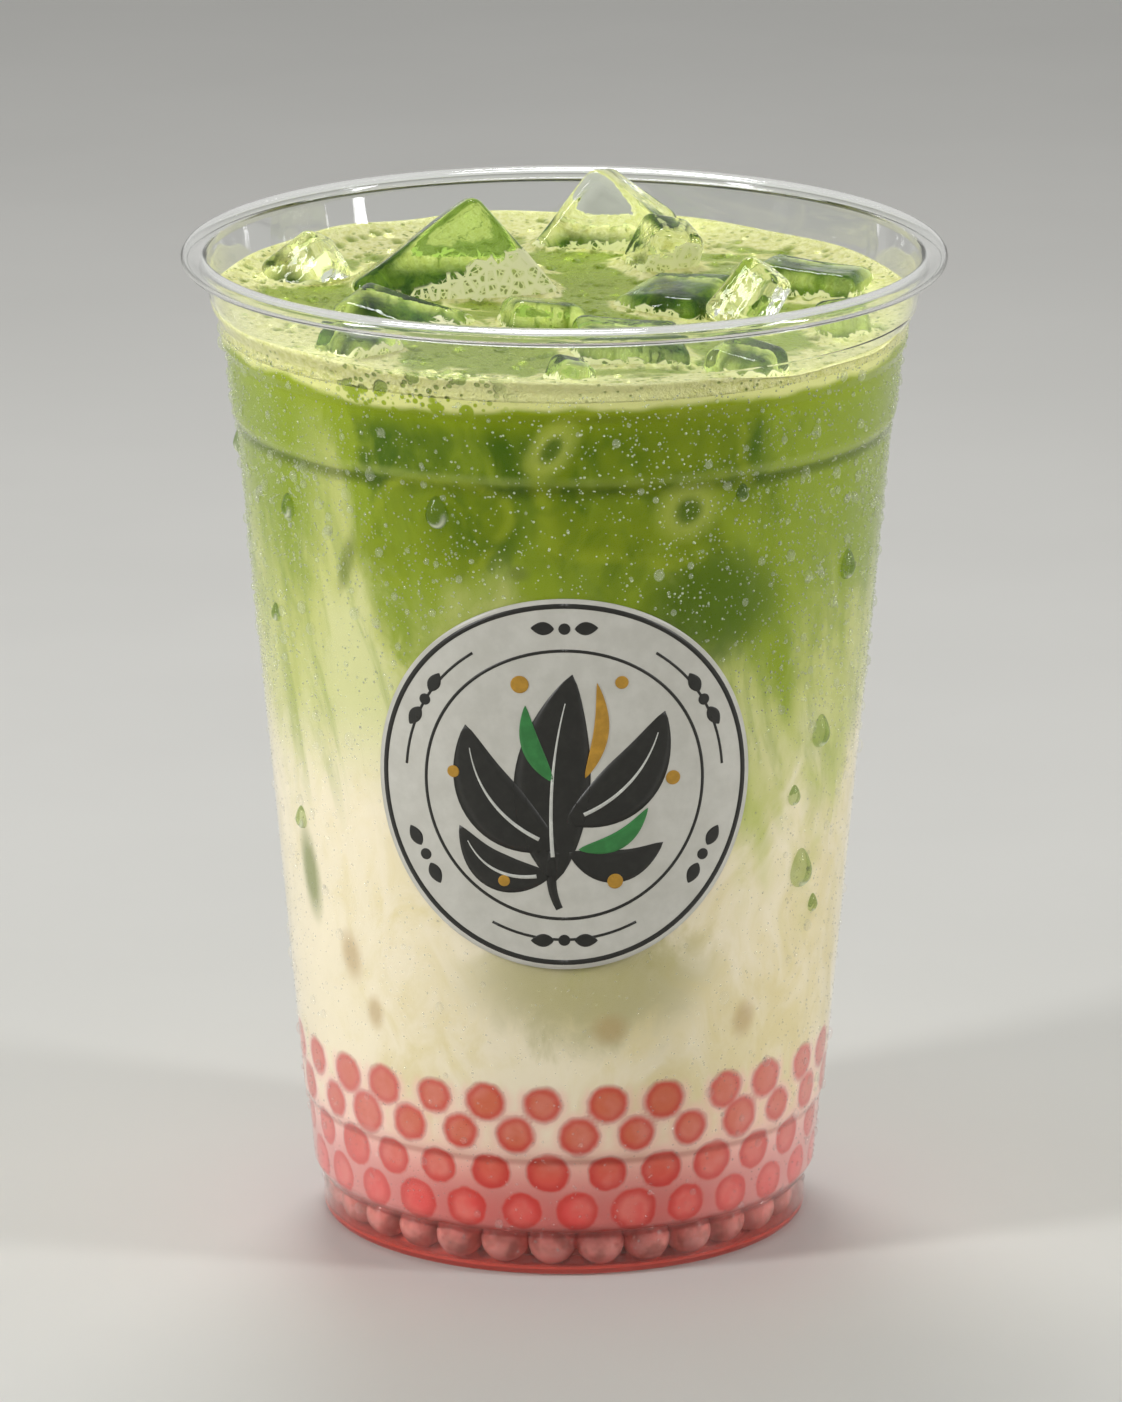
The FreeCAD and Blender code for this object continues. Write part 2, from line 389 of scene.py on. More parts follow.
def joined(shapes):
    """Several shapes' points and faces as one."""
    starts = np.cumsum([0] + [len(points) for points, _ in shapes])
    faces = [some + start for (_, found), start in zip(shapes, starts) for some in found]
    return np.concatenate([points for points, _ in shapes]), faces


def disc_grid(radius, middle=(0.0, 0.0), lines=11):
    """Square grid stretched to a disc: (a root(1 - b b / 2), b root(1 - a a / 2)) radii."""
    side = np.linspace(-1, 1, lines)
    a, b = np.meshgrid(side, side)
    wide = a * np.sqrt(1 - b * b / 2)
    tall = b * np.sqrt(1 - a * a / 2)
    return middle[0] + radius * wide, middle[1] + radius * tall


def ring_shape(inner, outer, low, high, start=0.0, end=360.0):
    """Flat ring, or part of one, between two radii; angles are clockwise from the top."""
    turns = max(int(abs(end - start) / 3), 8)
    angle = np.radians(np.linspace(start, end, turns + 1))
    radius = np.linspace(inner, outer, 3)[:, None]
    across, up = radius * np.sin(angle), radius * np.cos(angle)
    if end - start < 360:
        return [plate(across, up, low, high)]
    half = turns // 2
    return [plate(across[:, :half + 1], up[:, :half + 1], low, high),
            plate(across[:, half:], up[:, half:], low, high)]


def midrib(root, tip, bend, along):
    """Places along a leaf's middle: a straight line, bowed sideways by bend sin(pi s)."""
    reach = np.array(tip) - root
    aside = np.array([-reach[1], reach[0]])
    return root + reach * along[:, None] + aside * (bend * np.sin(np.pi * along))[:, None]


def ribbon(curve, half, lines, low, high):
    """Plate along a curve; half is how far it reaches to each side at each point."""
    heading = unit(np.gradient(curve, axis=0))
    side = half[:, None] * np.linspace(-1, 1, lines)
    return plate(curve[:, :1] - heading[:, 1:] * side, curve[:, 1:] + heading[:, :1] * side,
                 low, high)


def leaf_shape(root, tip, width, bend, low, high):
    """Leaf along a bent midrib: its half-width is a sine of the way along, to a power."""
    along = np.linspace(0.0, 1.0, 25)
    half = width / 2 * np.sin(np.pi * along ** 0.9) ** 0.8 + 0.02
    return ribbon(midrib(root, tip, bend, along), half, 7, low, high)


def stroke_shape(points, widths, low, high):
    """Brush stroke through a few points on a smooth curve, its width changing along it."""
    steps, powers = np.arange(len(points)), np.polynomial.polynomial
    way = np.linspace(0, len(points) - 1, 14 * len(points))
    curve = powers.polyval(way, powers.polyfit(steps, np.array(points), len(points) - 1)).T
    half = np.interp(way, np.linspace(0, len(points) - 1, len(widths)), widths) / 2
    return ribbon(curve, half, 3, low, high)


def pearl_vinyl():
    """Satin white film with a faint pearly mottle and fine paler specks."""
    material, start, place = new_finish("pearl_vinyl")
    cloud = place.noise(320, 4, 0.6).ramp(0.3, 0.75)
    speck = place.cells(2600).ramp(0.10, 0.02)
    shade = cloud.mix("d3d1c6", "dfddd3")
    shade = (speck * 0.5).mix(shade, "efefe8")
    grain = start.node("Bump", Strength=0.12, Distance=0.0001, Height=place.noise(900, 3))
    lay(start.surface(shade, cloud * 0.08 + 0.34, Normal=grain, IOR=1.45, Coat_Weight=0.25,
                      Coat_Roughness=0.2, Sheen_Weight=0.05))
    return material


def ink(name, code, rough=0.38):
    """Printed colour, a little uneven, with the film's satin over it."""
    material, start, place = new_finish(name)
    thin = place.noise(700, 3, 0.6).ramp(0.35, 0.8)
    dark = colour(code)
    light = tuple(min(c * 1.35 + 0.006, 1.0) for c in dark[:3]) + (1.0,)
    lay(start.surface(thin.mix(dark, light), thin * 0.1 + rough, IOR=1.45, Coat_Weight=0.2,
                      Coat_Roughness=0.2))
    return material


make_piece("label_sticker",
           *plate(*disc_grid(label_radius, lines=49), -0.02, label_thickness),
           pearl_vinyl(), "label", "label")

low, high = label_thickness - 0.01, label_thickness + ink_thickness
black_shapes = ring_shape(23.55, 24.2, low, high) + ring_shape(17.75, 18.15, low, high)
for start_angle in (22.0, 142.0, 262.0):
    black_shapes += ring_shape(20.6, 20.95, low, high, start_angle + 12, start_angle + 64)
sprig = (
    ((-1.2, -13.0), (1.0, 14.8), 9.6, 0.05),
    ((-0.8, -8.5), (-12.6, 7.6), 8.0, 0.16),
    ((0.2, -5.0), (12.8, 9.4), 7.4, -0.14),
    ((-1.6, -12.0), (-13.4, -6.0), 5.0, 0.22),
)
for root, tip, width, bend in sprig:
    black_shapes.append(leaf_shape(root, tip, width, bend, low, high))
black_shapes.append(stroke_shape(((-1.2, -9.0), (-1.6, -13.0), (-0.6, -16.6)),
                                 (1.5, 1.2, 0.9), low, high))
black_shapes.append(leaf_shape((0.6, -9.0), (12.6, -8.2), 4.4, -0.20, low, high))
for angle in np.radians(np.arange(0.0, 360.0, 60.0)):
    reach = np.array([np.sin(angle), np.cos(angle)])
    skew = np.array([reach[1], -reach[0]])
    black_shapes.append(plate(*disc_grid(0.75, reach * dot_ring), low, high))
    for way in (-1, 1):
        black_shapes.append(leaf_shape(reach * dot_ring + skew * way * 1.3,
                                       reach * (dot_ring + 0.1) + skew * way * 4.2, 1.7, 0.0,
                                       low, high))
make_piece("label_print", *joined(black_shapes), ink("black_ink", "17160f"), "label")

low, high = high - 0.005, high + ink_thickness
rib_shapes = []
for root, tip, width, bend in sprig:
    rib = midrib(root, tip, bend, np.array([0.12, 0.35, 0.6, 0.86]))
    rib_shapes.append(stroke_shape(rib, (0.5, 0.36, 0.12), low, high))
make_piece("label_leaf_ribs", *joined(rib_shapes), ink("film_white", "cfd0c8"), "label")

gold_shapes = []
for place_of_dot, dot in (((-5.6, 13.4), 1.15), ((7.2, 13.6), 0.85), ((13.9, 0.4), 0.95),
                          ((-14.2, 1.2), 0.8), ((6.4, -13.0), 1.0), ((-7.6, -13.0), 0.75)):
    gold_shapes.append(plate(*disc_grid(dot, place_of_dot), low, high))
gold_shapes.append(leaf_shape((2.6, 1.0), (4.1, 13.6), 1.9, -0.10, low, high))
make_piece("label_gold", *joined(gold_shapes), ink("gold_ink", "b98a24", 0.3), "label")

green_shapes = [leaf_shape((-1.4, 0.5), (-4.9, 10.6), 2.4, 0.10, low, high),
                leaf_shape((1.8, -8.6), (10.6, -3.4), 2.3, -0.16, low, high)]
make_piece("label_green", *joined(green_shapes), ink("green_ink", "2f7d3b"), "label")


# --- Pearls -------------------------------------------------------------------------------
# Soft juice-filled pearls, 6 mm across, heaped five deep on the base and pressed against
# the wall. Pink milk has run down between them, and clear red syrup lies in the foot.

pearl_radius = 3.15
pearls_round = 28
pearl_rows = (3.9, 8.5, 13.1, 17.7, 22.4)
pearl_limit = 24.0     # highest middle of a pearl
settling_steps = 40
heap_top = 28.0        # where the milk that has run between the pearls begins
grip = 0.3             # how far the contents reach into the wall from its inner side


def inside_at(height):
    """Radius of the contents' side: just into the sheet, all the way up."""
    return wall_at(height) - sheet + grip


def pearl_places():
    """Middles of the pearls: rows round the wall, half a step apart, shaken out of line.

    Pearls that overlap are then pushed apart along the wall, a little at a time.
    """
    chance = np.random.default_rng(23)
    found = []
    for row, height in enumerate(pearl_rows):
        bearing = (np.arange(pearls_round) + 0.5 * (row % 2)) * 360 / pearls_round - 3.5
        shaken = bearing + chance.uniform(-4.0, 4.0, pearls_round) * min(row, 2) / 2
        wave = 1.25 * np.sin(np.radians(bearing * 2 + 40))
        wave = wave + chance.uniform(-1.7, 1.7, pearls_round)
        middle = height + wave * (0.0, 0.3, 0.55, 0.8, 1.1)[row]
        radius = inside_at(middle) - pearl_radius - grip / 2
        radius = radius - chance.uniform(0.0, 0.7, pearls_round)
        angle = np.radians(shaken)
        found.append(together(radius, angle, middle))
    radius, angle, height = np.concatenate(found).T
    for _ in range(settling_steps):
        around = (angle[:, None] - angle + np.pi) % (2 * np.pi) - np.pi
        across, up = around * radius, height[:, None] - height
        apart = np.hypot(across, up) + np.eye(len(angle)) * 99
        push = np.clip(2 * pearl_radius - 0.1 - apart, 0, None) * 0.3 / apart
        angle = angle + (push * across).sum(1) / radius
        height = np.maximum(height + (push * up).sum(1), pearl_rows[0] - 0.2)
    height = np.minimum(height, pearl_limit)
    radius = np.minimum(radius, inside_at(height) - pearl_radius - grip / 2)
    return about_axis(radius, angle, height)


def ball(rings=13, turns=20):
    """Unit ball of rings and turns, closed by a fan at each end."""
    tilt = np.linspace(0, np.pi, rings)
    profile = together(np.sin(tilt), -np.cos(tilt))
    profile[[0, -1], 0] = 0
    return turned(profile, turns)


def repeated(shape, places, sizes, frames=None):
    """Copies of one shape, each scaled by its own three sizes, turned and put in place."""
    points, faces = shape
    sized = points[None] * sizes[:, None, :]
    if frames is not None:
        sized = np.einsum("nij,nvj->nvi", frames, sized)
    start = np.arange(len(places))[:, None, None] * len(points)
    copies = [(some[None] + start).reshape(-1, some.shape[1]) for some in faces]
    return (sized + places[:, None, :]).reshape(-1, 3), copies


def pearl_skin():
    """Thin jelly skin round juice: salmon at the top of the heap, redder below.

    In the foot, where no milk covers a pearl, the light goes part of the way through it.
    """
    material, start, place = new_finish("pearl_skin")
    height = place.mm("Z")
    cloud = place.noise(380, 2, 0.5)
    body = height.ramp(7.0, 19.0).mix("ee4c46", "e46a4c")
    body = height.ramp(8.0, 2.5).mix(body, "f8b0aa")
    body = (cloud.ramp(0.35, 0.75) * 0.4).mix(body, "f09078")
    jelly = start.surface(body, cloud * 0.1 + 0.12, IOR=1.38, Subsurface_Weight=0.35,
                          Subsurface_Scale=0.0012, Subsurface_Radius=(1.0, 0.45, 0.35),
                          Coat_Weight=0.5, Coat_Roughness=0.08)
    juice = start.surface("ffdcd8", cloud * 0.06 + 0.02, IOR=1.38, Transmission_Weight=1.0)
    seen_into = height.ramp(8.0, 6.0) * (0.25 + cloud.ramp(0.4, 0.65) * 0.3)
    lay(seen_into.blend(jelly, juice))
    return material


def syrup_core():
    """What shows dimly between the pearls: red syrup over pink milk."""
    material, start, place = new_finish("syrup_core")
    height = place.mm("Z")
    cloud = place.noise(240, 3, 0.6).ramp(0.35, 0.7)
    tone = height.ramp(4.0, 12.0).mix(cloud.mix("b83a30", "ec8478"), "e8a79c")
    lay(start.surface(tone, cloud * 0.2 + 0.3))
    return material


def milk_tone(place):
    """Ivory milk turning to leaf-green tea with height, in slanting streaks and swirls.

    The tea's share grows from the milk's level up, pushed up and down by long noise that is
    stretched along the height, and by finer curls. The left and right sides are paler: painted
    sheen of the damp haze on the wall, seen edge-on there. Fine green veins cross the middle.
    A khaki painted shade lies on the front under the label, where the lamps at the sides light
    the milk least, and a painted shade line and a painted highlight line follow the upper step.
    """
    height, cross = place.mm("Z"), place.mm("X")
    side = (cross / 40).size()
    leaning = place.node("CombineXYZ", X=place.part("X") + place.part("Z") * 0.3,
                         Y=place.part("Y"), Z=place.part("Z"))
    streak = leaning.scaled(1.0, 1.0, 0.2).noise(72, 3, 0.55, 0.6) - 0.5
    curls = place.scaled(1.0, 1.0, 0.6).noise(150, 4, 0.6, 1.6) - 0.5
    drift = place.scaled(1.0, 1.0, 0.45).noise(28, 2, 0.5, 0.4) - 0.5
    level = (height - 78) / 29 + streak * 2.3 + curls * 0.7 + drift * 1.0
    pale_streak = ((place.part("X") + place.part("Z") * 0.2 + curls * 0.01) * 1000 + 9).size()
    pale_streak = pale_streak.ramp(8.0, 0.5)
    pale_streak = pale_streak * (-place.mm("Y")).ramp(8.0, 20.0)
    # The sides' paler tone, here and in deep below, is painted sheen of the damp haze on the
    # wall seen edge-on.
    level = level + place.part("X") * 3.0 - side.ramp(0.55, 1.0) * 0.3 - pale_streak * 0.8
    tea = level.ramp(-1.1, 0.75)
    deep = (level + curls * 0.4 - side.ramp(0.5, 0.9) * 0.6).ramp(0.45, 1.35)
    deep = deep * height.ramp(86.0, 98.0)
    low_right = ((cross - 18) / 9) ** 2 + ((height - 90 - curls * 8) / 8) ** 2
    mid_left = ((cross + 11) / 7) ** 2 + ((height - 102 - curls * 8) / 7) ** 2
    deep = deep.most(low_right.ramp(1.5, 0.1) * 0.8).most(mid_left.ramp(1.5, 0.1) * 0.9)
    milk = (curls + drift * 1.4).ramp(-0.15, 0.4).mix("f7edd6", "e9dcb0")
    # Painted shade: khaki on the front under the label, where the lamps at the sides light the
    # milk least.
    painted_front_shade = ((cross - 3) / 17) ** 2 + ((height - 41 - curls * 14) / 10) ** 2
    painted_front_shade = painted_front_shade.ramp(1.3, 0.0) * (-place.mm("Y")).ramp(15.0, 28.0)
    milk = (painted_front_shade * 0.75).mix(milk, "b9b27a")
    milk = (height.ramp(60.0, 78.0) * 0.85).mix(milk, "d8da9e")
    tone = tea.ramp(0.0, 0.5).mix(milk, "cdd086")
    tone = tea.ramp(0.4, 1.0).mix(tone, "97a92a")
    veins = leaning.scaled(1.0, 1.0, 0.16).noise(190, 4, 0.6, 0.9).ramp(0.47, 0.64)
    veins = veins * height.band(54.0, 72.0, 94.0, 108.0)
    tone = (veins * 0.38).mix(tone, "8fa23e")
    tone = deep.mix(tone, "4b6c00")
    under_foam = height.band(112.0, 116.8, 118.0, 119.5)
    tone = (under_foam * 0.85).mix(tone, "9fb00c")
    # Painted shade along the foot of the wall's upper step, and a painted highlight line along
    # its top.
    painted_step_shade = height.band(104.6, 106.0, 106.4, 107.0)
    tone = (painted_step_shade * 0.55).mix(tone, "355000")
    edge = height.band(106.8, 107.3, 107.7, 108.6)
    return (edge * 0.33).mix(tone, "b9c46c")


def milk_among_pearls():
    """Pink milk at the wall: solid between the pearls, clearer over each and in the foot.

    pearl_distance is how far a place is from the nearest pearl's touching point, in mm. Over
    a pearl the milk takes the pearl's colour, with painted shade darker towards its rim, where
    the round pearl turns away from the wall.
    """
    material, start, place = new_finish("milk_among_pearls")
    height = place.mm("Z")
    reach = start.named("pearl_distance")
    wobble = (place.noise(620, 2) - 0.5) * 0.6
    near = reach + wobble
    soft = height.ramp(12.0, 22.0) * 0.5
    gap = near.ramp(3.0 - soft, 3.45)
    foot = height.ramp(7.0, 5.4)
    # aside is painted glare: paler pink at the left and right, on the milk and on the pearls
    # alike.
    aside = (place.mm("X") / 34).size().ramp(0.35, 0.95)
    pink = height.ramp(8.0, 20.0).mix("e98a84", "f8d2c4")
    pink = (aside * 0.6).mix(pink, "fad4d0")
    fade = (near.ramp(2.6, 4.6) * height.ramp(13.0, 22.0)).most(height.ramp(24.2, 27.0))
    tone = fade.mix(pink, milk_tone(place))
    face = height.ramp(8.0, 21.0).mix("fa6460", "ea8363")
    juice = place.noise(170, 3, 0.6).ramp(0.35, 0.7)
    face = (juice * 0.6).mix(face, "f8aa9c")
    # Painted shade: each disc darkens towards the pearl's rim, where the ball turns away.
    face = (near.ramp(1.6, 2.9) * 0.8).mix(face, "e2504a")
    face = (aside * 0.45).mix(face, "f6b6b4")
    tone = near.ramp(2.9 - soft, 3.4).mix(face, tone)
    cover = gap * (1 - foot * 0.72) * (0.82 + height.ramp(10.0, 16.0) * 0.18)
    cover = cover.most(0.84 - foot * 0.76).most(height.ramp(24.5, 27.2))
    # Painted shade and painted highlight: a thin dark red line under a pale one, along the
    # wall's lower step.
    tone = (height.band(15.2, 15.9, 16.1, 16.6) * 0.3).mix(tone, "a8322c")
    tone = (height.band(16.4, 16.9, 17.1, 17.8) * 0.22).mix(tone, "fbd9cc")
    cover = cover.most(height.ramp(1.9, 0.9) * 0.8)
    tone = foot.mix(tone, "dc5648")
    body = start.surface(tone, wobble * 0.2 + 0.3, IOR=1.35, Specular_IOR_Level=0.1)
    clear = start.node("BsdfTransparent", Color=(1.0, 0.93, 0.92, 1.0))
    lay(cover.blend(clear, body))
    return material


pearls = pearl_places()
pearl_sizes = np.full((len(pearls), 3), pearl_radius)
make_piece("boba_pearls", *repeated(ball(), pearls, pearl_sizes), pearl_skin(), "boba", "boba")

core_path = rounded(((0.0, 2.7, 0.0), (23.0, 2.7, 1.0), (26.5, 6.5, 2.0), (28.2, 17.0, 2.0),
                     (28.6, 25.0, 1.5), (0.0, 25.5, 0.0)))
make_piece("boba_core", *turned(core_path, 96), syrup_core(), "boba", "boba")

veil_height = np.linspace(0.9, heap_top, 62)
veil_side = together(inside_at(veil_height), veil_height)
veil_path = np.concatenate([[(0.0, 2.2), (26.0, 2.2), (27.6, 0.4), (30.6, 0.3)], veil_side,
                            [(29.4, heap_top - 0.2), (0.0, heap_top - 0.2)]])
veil_points, veil_faces = turned(veil_path, 380)
wall_dots = pearls.copy()
wall_dots[:, :2] = unit(pearls[:, :2]) * inside_at(pearls[:, 2])[:, None]
sunk_in = inside_at(pearls[:, 2]) - np.hypot(pearls[:, 0], pearls[:, 1]) - pearl_radius
separation = np.sqrt(((veil_points[:, None, :] - wall_dots[None]) ** 2).sum(-1))
separation = (separation + sunk_in * 0.7).min(1)
make_piece("boba_milk", veil_points, veil_faces, milk_among_pearls(), "boba", "boba",
           shares={"pearl_distance": separation}, crease=40)


# --- Milk ---------------------------------------------------------------------------------
# Ivory milk over the pearls, with green tea sinking into it in streaks. A few pearls and
# cubes that touch the wall behind it show as soft tan or green spots.

milk_level = 76.0
milk_swell = 3.4
milk_reach = 39.6      # radius of the milk's top
# bearing, height, half-width and half-height of each spot, and its slant
tan_spots = ((-49.0, 40.7, 1.7, 2.8, 0.1), (-43.0, 33.7, 1.2, 1.9, 0.0),
             (9.4, 34.2, 2.0, 1.8, 0.0), (40.3, 33.3, 1.6, 2.1, 0.0),
             (128.0, 38.0, 1.7, 2.3, 0.0), (196.0, 45.0, 1.8, 2.4, 0.1),
             (-134.0, 36.0, 1.6, 2.0, 0.0), (163.0, 33.0, 1.3, 1.8, 0.0))
green_spots = ((-61.6, 50.0, 2.0, 5.2, 0.1), (-42.0, 94.4, 1.1, 3.6, -0.35),
               (-8.0, 95.5, 1.2, 1.0, 0.0), (118.0, 60.0, 1.9, 4.4, 0.2),
               (-150.0, 88.0, 1.3, 3.4, 0.3), (175.0, 97.0, 1.4, 3.0, -0.2))


def milk_top(x, y):
    """Slow swells where the tea has sunk into the milk."""
    return milk_level + milk_swell * (np.sin(x / 11.0 + 0.6) * np.cos(y / 13.0)
                                      + 0.5 * np.sin(y / 8.0 - x / 17.0))


def spot_share(points, spots, soft, square=2.0, wander=0.0):
    """How far each point is inside the nearest spot on the wall: 1 in its middle.

    A spot is an oval, or with square over 2 nearer an oblong, and low waves of wander mm
    move its outline about.
    """
    bearing = np.degrees(np.arctan2(points[:, 0], -points[:, 1]))
    bearing = bearing + wander * (np.sin(points[:, 2] / 2.1) + np.sin(points[:, 2] / 4.7))
    points = points + wander * 0.7 * np.sin(points[:, :1] / 3.1 + points[:, 1:2] / 4.3)
    radius = np.hypot(points[:, 0], points[:, 1])
    share = np.zeros(len(points))
    for middle, height, half_width, half_height, slant in spots:
        turn = (bearing - middle + 180) % 360 - 180
        up = points[:, 2] - height
        across = np.radians(turn) * radius + up * slant
        reach = (np.abs(across / half_width) ** square
                 + np.abs(up / half_height) ** square) ** (1 / square)
        share = np.maximum(share, np.clip((1 + soft / 2 - reach) / soft, 0, 1))
    return share


def side_grid(bottom, top, rows, turns):
    """Grid of points up the contents' side, from one height to another at each bearing."""
    bearing = all_round(turns)
    share = np.linspace(0, 1, rows)[:, None]
    height = bottom(bearing) * (1 - share) + top(bearing) * share
    return about_axis(inside_at(height), bearing, height)


def milk_edge(bearing):
    """Height of the milk's top where it meets the wall."""
    return milk_top(milk_reach * np.sin(bearing), -milk_reach * np.cos(bearing))


def capped(side, low_path, high_path):
    """Closes a side grid: rows of given radius and height go inwards below and above it."""
    bearing = np.arctan2(side[0, :, 0], -side[0, :, 1])
    below, above = (about_axis(path[:, :1], bearing, path[:, 1:])
                    for path in (np.array(low_path), np.array(high_path)))
    return closed_round(np.concatenate([below, side, above]), True, True)


def foam_lace(place):
    """Larger bubbles in a patch near the front left: 1 in each bubble, 0 on its froth rim."""
    patch = (place.mm("X") + 19).size().ramp(15.0, 7.0) * (-place.mm("Y")).ramp(31.0, 35.0)
    round_ones = place.cells(400).ramp(0.44, 0.34).most(place.cells(900).ramp(0.38, 0.28))
    return round_ones * patch


def milk_and_tea():
    """Opaque drink in milk_tone, with soft spots where something touches the wall.

    Foam drips over its top edge, lower at the front left, where it is full of bubbles.
    """
    material, start, place = new_finish("milk_and_tea")
    tan, green, halo, eye, slab = (start.named(name) for name in (
        "tan_spot", "green_spot", "ice_halo", "ice_eye", "ice_slab"))
    height = place.mm("Z")
    cloud = place.noise(210, 3, 0.55, 0.6)
    tone = milk_tone(place)
    tone = (slab * cloud.ramp(0.2, 0.65) * 0.7).mix(tone, "8b9c14")
    tone = (slab * (1 - slab) * cloud.ramp(0.3, 0.7) * 2.4).mix(tone, "a9b52c")
    tone = (tan * 0.62).mix(tone, "c3a877")
    tone = (green * 0.72).mix(tone, "7c8a3c")
    tone = (halo * 0.78).mix(tone, "c9d062")
    tone = (eye * 0.88).mix(tone, "4e6c08")
    drip = height + (place.noise(70, 2, 0.5) - 0.5) * 4.0 + (cloud - 0.5) * 0.8
    front_left = (place.mm("X") + 20).size().ramp(17.0, 6.0)
    drip = drip + front_left * place.part("Y") * -35.0
    bubbled = foam_lace(place).mix("e8e8a0", "a3b431")
    tone = drip.ramp(116.9, 118.0).mix(tone, bubbled)
    lay(start.surface(tone, cloud * 0.15 + 0.25, IOR=1.35, Specular_IOR_Level=0.1))
    return material


def spots_of(points, eyes=(), slabs=()):
    """The named shares that milk_and_tea reads, at each point."""
    wide = [(a, z, w * 1.9, h * 1.75, s) for a, z, w, h, s in eyes]
    return {"tan_spot": spot_share(points, tan_spots, soft=0.9),
            "green_spot": spot_share(points, green_spots, soft=0.8),
            "ice_halo": spot_share(points, wide, soft=0.9, wander=0.25),
            "ice_eye": spot_share(points, eyes, soft=0.7, wander=0.25),
            "ice_slab": spot_share(points, slabs, soft=0.22, square=4.0, wander=1.0)}


def flat(height):
    return lambda bearing: height + 0 * bearing


drink_finish = milk_and_tea()
milk_side = side_grid(flat(heap_top), milk_edge, 64, 360)
milk_points, milk_faces = capped(milk_side, [(0.0, heap_top - 0.1), (20.0, heap_top - 0.1)],
                                 [(30.0, 75.0), (0.0, 75.0)])
make_piece("milk_layer", milk_points, milk_faces, drink_finish, "milk", "milk",
           shares=spots_of(milk_points), crease=40)


# --- Matcha -------------------------------------------------------------------------------
# Green tea whisked with milk, up to the foam. Cubes pressed against the wall show as paler
# slabs with a bright ring and a dark middle where each one touches.

foam_bottom = 118.1
ice_eyes = ((-2.4, 112.0, 1.3, 1.8, -0.35), (21.6, 103.2, 1.85, 1.8, 0.0),
            (151.0, 108.0, 1.4, 1.5, 0.0), (-118.0, 104.0, 1.5, 1.4, 0.0))
ice_slabs = ((14.0, 107.0, 13.5, 10.0, 0.15), (-24.0, 99.5, 9.0, 7.0, -0.3),
             (140.0, 104.0, 12.0, 9.0, 0.1), (-112.0, 108.0, 10.0, 8.0, 0.0))

tea_side = side_grid(milk_edge, flat(foam_bottom), 66, 400)
tea_points, tea_faces = capped(tea_side, [(30.0, 75.2), (0.0, 75.2)],
                               [(43.4, foam_bottom), (41.0, 101.0), (0.0, 101.0)])
make_piece("matcha_layer", tea_points, tea_faces, drink_finish, "matcha", "matcha",
           shares=spots_of(tea_points, ice_eyes, ice_slabs), crease=40)


# --- Ice ----------------------------------------------------------------------------------
# Cubes from a tray, narrower at one end and melted round, standing in the foam. They are
# clear, or a little green where the drink wets them, and dented by melting.

tracing_steps = 40
melt_depth = 0.16      # height of the waves that melting leaves
# width, depth, height, yaw, pitch and roll of each cube
ice_cubes = (
    (20.5, 19.0, 20.5, 4.0, -13.0, 50.0), (8.0, 8.0, 9.0, 38.0, 38.0, 30.0),
    (14.0, 12.5, 17.0, -14.0, -9.0, 33.0), (8.5, 8.5, 10.0, 20.0, 12.0, 16.0),
    (15.0, 15.0, 13.0, -30.0, 5.0, -4.0), (7.0, 7.0, 10.0, 45.0, 25.0, 25.0),
    (16.0, 12.0, 12.0, -18.0, -4.0, 5.0), (7.5, 7.5, 9.0, 12.0, 8.0, -5.0),
    (19.0, 11.5, 12.0, -28.0, 8.0, 10.0), (11.5, 10.5, 11.0, 12.0, -7.0, 9.0),
    (16.0, 13.5, 12.0, 8.0, 6.0, 6.0), (10.0, 9.5, 10.0, -30.0, 7.0, 9.0),
    (6.0, 6.0, 7.0, 25.0, 10.0, 12.0), (10.5, 9.0, 10.0, 40.0, 6.0, 8.0),
)


def turn_of(yaw, pitch, roll):
    """Turning by roll about Y, then pitch about X, then yaw about Z, as one 3 by 3 grid."""
    a, b, c = np.radians((yaw, pitch, roll))
    about_z = np.array([[np.cos(a), -np.sin(a), 0], [np.sin(a), np.cos(a), 0], [0, 0, 1]])
    about_x = np.array([[1, 0, 0], [0, np.cos(b), -np.sin(b)], [0, np.sin(b), np.cos(b)]])
    about_y = np.array([[np.cos(c), 0, np.sin(c)], [0, 1, 0], [-np.sin(c), 0, np.cos(c)]])
    return about_z @ about_x @ about_y


def ice_distance(local, cube, seed):
    """Distance outside a melted cube, in its own directions; less than 0 inside it.

    It is the distance to a box that narrows upwards, less its rounding, plus low waves for
    the dents of melting.
    """
    width, depth, height = cube[:3]
    narrow = 1 - 0.08 * (local[..., 2] / height + 0.5) * 2 + 0.04
    half = together(width / 2 * narrow, depth / 2 * narrow, height / 2)
    corner = min(min(cube[:3]) * 0.2, 1.5)
    over = np.abs(local) - (half - corner)
    outside = np.linalg.norm(np.maximum(over, 0), axis=-1)
    inside = np.minimum(over.max(axis=-1), 0)
    wave = (np.sin(local[..., 0] / 2.7 + seed) * np.sin(local[..., 1] / 3.1 + 2 * seed)
            + np.sin(local[..., 2] / 2.9 + 3 * seed) * np.sin(local[..., 0] / 3.3 - seed))
    return outside + inside - corner + melt_depth * wave


def cube_ball(steps=34):
    """Directions over a ball, from a grid on each of a cube's six sides, seams joined."""
    side = np.tan(np.linspace(-np.pi / 4, np.pi / 4, steps))
    a, b = np.meshgrid(side, side, indexing="ij")
    one = np.ones_like(a)
    sheets = [(one, a, b), (-one, b, a), (b, one, a), (a, -one, b), (a, b, one), (b, a, -one)]
    points = np.concatenate([together(*sheet).reshape(-1, 3) for sheet in sheets])
    index = np.arange(steps * steps).reshape(steps, steps)
    quad = together(index[:-1, :-1], index[1:, :-1], index[1:, 1:], index[:-1, 1:])
    quads = np.concatenate([quad.reshape(-1, 4) + k * steps * steps for k in range(6)])
    _, first, back = np.unique(np.round(points, 6), axis=0, return_index=True,
                               return_inverse=True)
    return unit(points[first]), [back.ravel()[quads]]


